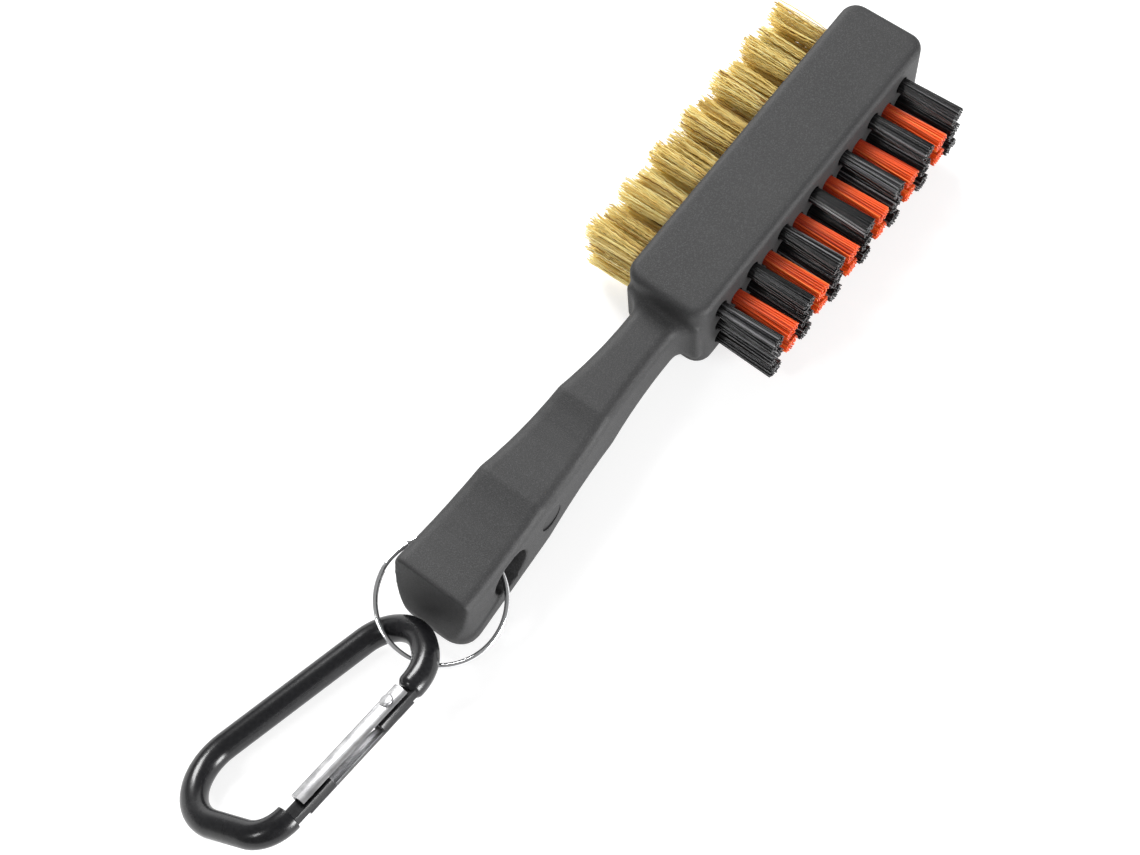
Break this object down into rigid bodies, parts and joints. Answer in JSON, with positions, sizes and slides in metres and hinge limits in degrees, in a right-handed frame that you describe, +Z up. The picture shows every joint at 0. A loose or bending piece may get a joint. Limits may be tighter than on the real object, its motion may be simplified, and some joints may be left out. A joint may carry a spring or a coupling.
{
  "type": "club groove brush",
  "caption": "Double-sided groove brush for golf clubs: nylon tufts on one side, brass on the other, a grip handle, and a split ring with a small spring-gate carabiner.",
  "frame": {"origin": "middle of the flat underside of the brush head", "axes": "+X from the butt to the far end of the head, +Y towards the brass side, +Z up out of the brush's flat top"},
  "size_m": [0.1789, 0.0386, 0.0185],
  "materials": {
    "moulded_plastic": "charcoal grey, finely grained",
    "black_nylon": "straight black filaments",
    "orange_nylon": "straight orange filaments",
    "brass_wire": "crimped thin wires",
    "chromed_steel": "bright",
    "black_anodised_aluminium": "gloss black",
    "bare_aluminium": "satin, brushed along its length",
    "rivet_steel": "satin"
  },
  "bodies": {
    "brush": {"brush_body": "moulded_plastic", "black_tuft_1_1": "black_nylon", "black_tuft_1_2": "black_nylon", "black_tuft_1_3": "black_nylon", "black_tuft_2_1": "black_nylon", "black_tuft_2_2": "black_nylon", "black_tuft_2_3": "black_nylon", "black_tuft_3_1": "black_nylon", "black_tuft_3_2": "black_nylon", "black_tuft_3_3": "black_nylon", "black_tuft_4_1": "black_nylon", "black_tuft_4_2": "black_nylon", "black_tuft_4_3": "black_nylon", "black_tuft_5_1": "black_nylon", "black_tuft_5_2": "black_nylon", "black_tuft_5_3": "black_nylon", "black_tuft_6_1": "black_nylon", "black_tuft_6_2": "black_nylon", "black_tuft_6_3": "black_nylon", "black_tuft_7_1": "black_nylon", "black_tuft_7_2": "black_nylon", "black_tuft_7_3": "black_nylon", "orange_tuft_1_1": "orange_nylon", "orange_tuft_1_2": "orange_nylon", "orange_tuft_2_1": "orange_nylon", "orange_tuft_2_2": "orange_nylon", "orange_tuft_3_1": "orange_nylon", "orange_tuft_3_2": "orange_nylon", "orange_tuft_4_1": "orange_nylon", "orange_tuft_4_2": "orange_nylon", "orange_tuft_5_1": "orange_nylon", "orange_tuft_5_2": "orange_nylon", "orange_tuft_6_1": "orange_nylon", "orange_tuft_6_2": "orange_nylon", "brass_column_1": "brass_wire", "brass_column_2": "brass_wire", "brass_column_3": "brass_wire", "brass_column_4": "brass_wire", "brass_column_5": "brass_wire", "brass_column_6": "brass_wire", "brass_column_7": "brass_wire", "brass_column_8": "brass_wire", "brass_column_9": "brass_wire", "brass_column_10": "brass_wire", "brass_column_11": "brass_wire", "brass_column_12": "brass_wire", "brass_column_13": "brass_wire"},
    "ring": {"split_ring": "chromed_steel"},
    "carabiner": {"carabiner_body": "black_anodised_aluminium", "gate_rivet": "rivet_steel"},
    "gate": {"carabiner_gate": "bare_aluminium", "gate_spring": "rivet_steel"}
  },
  "joints": [
    {"name": "ring_swing", "type": "hinge", "parent": "brush", "child": "ring", "pos_m": [-0.0837, 0, 0.00925], "axis": [0, 1, 0], "range_deg": [-2, 125]},
    {"name": "carabiner_swing", "type": "hinge", "parent": "ring", "child": "carabiner", "pos_m": [-0.10402, 0.0012, 0.00645], "axis": [-0.1124, -0.9761, -0.1861], "range_deg": [-45, 8]},
    {"name": "gate_hinge", "type": "hinge", "parent": "carabiner", "child": "gate", "pos_m": [-0.11266, -0.00668, 0.01213], "axis": [-0.1082, -0.5106, -0.853], "range_deg": [0, 25], "stiffness_Nm_per_rad": 0.02, "springref_deg": -11.46}
  ]
}
